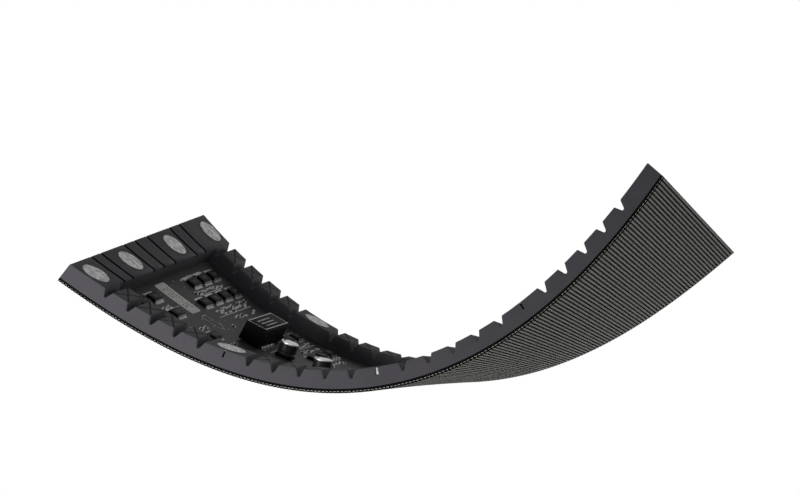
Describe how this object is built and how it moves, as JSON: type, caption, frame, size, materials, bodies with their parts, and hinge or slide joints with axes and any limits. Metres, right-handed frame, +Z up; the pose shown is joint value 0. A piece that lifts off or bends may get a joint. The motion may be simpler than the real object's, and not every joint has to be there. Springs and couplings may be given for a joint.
{
  "type": "flexible led display module",
  "caption": "Bendable rectangular LED display module: a toothed rubber frame with disc magnets holds a thin circuit board, LED rows on the outside of the curve, driver chips and connectors inside.",
  "frame": {"origin": "Centre of the outline, level with the lowest point of the LED face.", "axes": "X runs along the module's length, Y across its width, Z up, out of the hollow side that carries the circuit parts."},
  "size_m": [0.2924, 0.1688, 0.0933],
  "materials": {
    "rubber": "matte moulded rubber",
    "circuit_board": "black solder mask",
    "led_face": "rows of moulded LED packages",
    "magnet": "nickel plated",
    "chip": "moulded epoxy",
    "header": "moulded plastic",
    "plug": "moulded nylon",
    "can": "drawn aluminium",
    "label": "printed paper"
  },
  "bodies": {
    "seg_06": {"frame_06": "rubber", "board_06": "circuit_board", "led_face_06": "led_face", "rail_magnets_06": "magnet", "driver_chips_06": "chip"},
    "seg_00": {"frame_00": "rubber", "board_00": "circuit_board", "led_face_00": "led_face", "end_magnets_left": "magnet"},
    "seg_01": {"frame_01": "rubber", "board_01": "circuit_board", "led_face_01": "led_face", "driver_chips_01": "chip", "label": "label"},
    "seg_02": {"frame_02": "rubber", "board_02": "circuit_board", "led_face_02": "led_face", "driver_chips_02": "chip"},
    "seg_03": {"frame_03": "rubber", "board_03": "circuit_board", "led_face_03": "led_face", "rail_magnets_03": "magnet", "driver_chips_03": "chip", "data_header": "header", "capacitor_03": "can"},
    "seg_04": {"frame_04": "rubber", "board_04": "circuit_board", "led_face_04": "led_face", "driver_chips_04": "chip", "capacitor_04": "can"},
    "seg_05": {"frame_05": "rubber", "board_05": "circuit_board", "led_face_05": "led_face", "driver_chips_05": "chip"},
    "seg_07": {"frame_07": "rubber", "board_07": "circuit_board", "led_face_07": "led_face", "driver_chips_07": "chip"},
    "seg_08": {"frame_08": "rubber", "board_08": "circuit_board", "led_face_08": "led_face", "driver_chips_08": "chip"},
    "seg_09": {"frame_09": "rubber", "board_09": "circuit_board", "led_face_09": "led_face", "rail_magnets_09": "magnet", "driver_chips_09": "chip", "power_connector": "plug"},
    "seg_10": {"frame_10": "rubber", "board_10": "circuit_board", "led_face_10": "led_face", "driver_chips_10": "chip"},
    "seg_11": {"frame_11": "rubber", "board_11": "circuit_board", "led_face_11": "led_face", "driver_chips_11": "chip"},
    "seg_12": {"frame_12": "rubber", "board_12": "circuit_board", "led_face_12": "led_face", "end_magnets_right": "magnet"}
  },
  "joints": [
    {"name": "flex_07", "type": "hinge", "parent": "seg_06", "child": "seg_07", "pos_m": [0.01234, 0.00003, 0.00273], "axis": [-0.0006, -0.9999, 0.0148], "range_deg": [-10.47, 2.62]},
    {"name": "flex_08", "type": "hinge", "parent": "seg_07", "child": "seg_08", "pos_m": [0.03662, 0.00015, 0.0072], "axis": [-0.0059, -0.999, 0.0442], "range_deg": [-9.69, 2.44]},
    {"name": "flex_09", "type": "hinge", "parent": "seg_08", "child": "seg_09", "pos_m": [0.05985, 0.00045, 0.01568], "axis": [-0.0163, -0.9972, 0.0729], "range_deg": [-8.29, 2.09]},
    {"name": "flex_10", "type": "hinge", "parent": "seg_09", "child": "seg_10", "pos_m": [0.08167, 0.00102, 0.02743], "axis": [-0.0313, -0.9944, 0.1009], "range_deg": [-6.6, 1.67]},
    {"name": "flex_11", "type": "hinge", "parent": "seg_10", "child": "seg_11", "pos_m": [0.10204, 0.00189, 0.04161], "axis": [-0.0505, -0.9904, 0.1283], "range_deg": [-5.04, 1.27]},
    {"name": "flex_12", "type": "hinge", "parent": "seg_11", "child": "seg_12", "pos_m": [0.12112, 0.00305, 0.05752], "axis": [-0.0734, -0.9851, 0.1555], "range_deg": [-3.78, 0.96]},
    {"name": "flex_06", "type": "hinge", "parent": "seg_06", "child": "seg_05", "pos_m": [-0.01234, -0.00003, 0.00273], "axis": [0.0006, 0.9999, 0.0148], "range_deg": [-10.49, 2.64]},
    {"name": "flex_05", "type": "hinge", "parent": "seg_05", "child": "seg_04", "pos_m": [-0.03662, -0.00015, 0.0072], "axis": [0.0059, 0.999, 0.0442], "range_deg": [-9.69, 2.44]},
    {"name": "flex_04", "type": "hinge", "parent": "seg_04", "child": "seg_03", "pos_m": [-0.05985, -0.00045, 0.01568], "axis": [0.0163, 0.9972, 0.0729], "range_deg": [-8.29, 2.09]},
    {"name": "flex_03", "type": "hinge", "parent": "seg_03", "child": "seg_02", "pos_m": [-0.08167, -0.00102, 0.02743], "axis": [0.0313, 0.9944, 0.1009], "range_deg": [-6.6, 1.67]},
    {"name": "flex_02", "type": "hinge", "parent": "seg_02", "child": "seg_01", "pos_m": [-0.10204, -0.00189, 0.04161], "axis": [0.0505, 0.9904, 0.1283], "range_deg": [-5.04, 1.27]},
    {"name": "flex_01", "type": "hinge", "parent": "seg_01", "child": "seg_00", "pos_m": [-0.12112, -0.00305, 0.05752], "axis": [0.0734, 0.9851, 0.1555], "range_deg": [-3.78, 0.96]}
  ],
  "couplings": [
    {"joint": "flex_01", "follows": "flex_07", "ratio": 0.3593},
    {"joint": "flex_02", "follows": "flex_07", "ratio": 0.47926},
    {"joint": "flex_03", "follows": "flex_07", "ratio": 0.62858},
    {"joint": "flex_04", "follows": "flex_07", "ratio": 0.78943},
    {"joint": "flex_05", "follows": "flex_07", "ratio": 0.92381},
    {"joint": "flex_06", "follows": "flex_07", "ratio": 1},
    {"joint": "flex_08", "follows": "flex_07", "ratio": 0.92381},
    {"joint": "flex_09", "follows": "flex_07", "ratio": 0.78943},
    {"joint": "flex_10", "follows": "flex_07", "ratio": 0.62858},
    {"joint": "flex_11", "follows": "flex_07", "ratio": 0.47926},
    {"joint": "flex_12", "follows": "flex_07", "ratio": 0.3593}
  ]
}
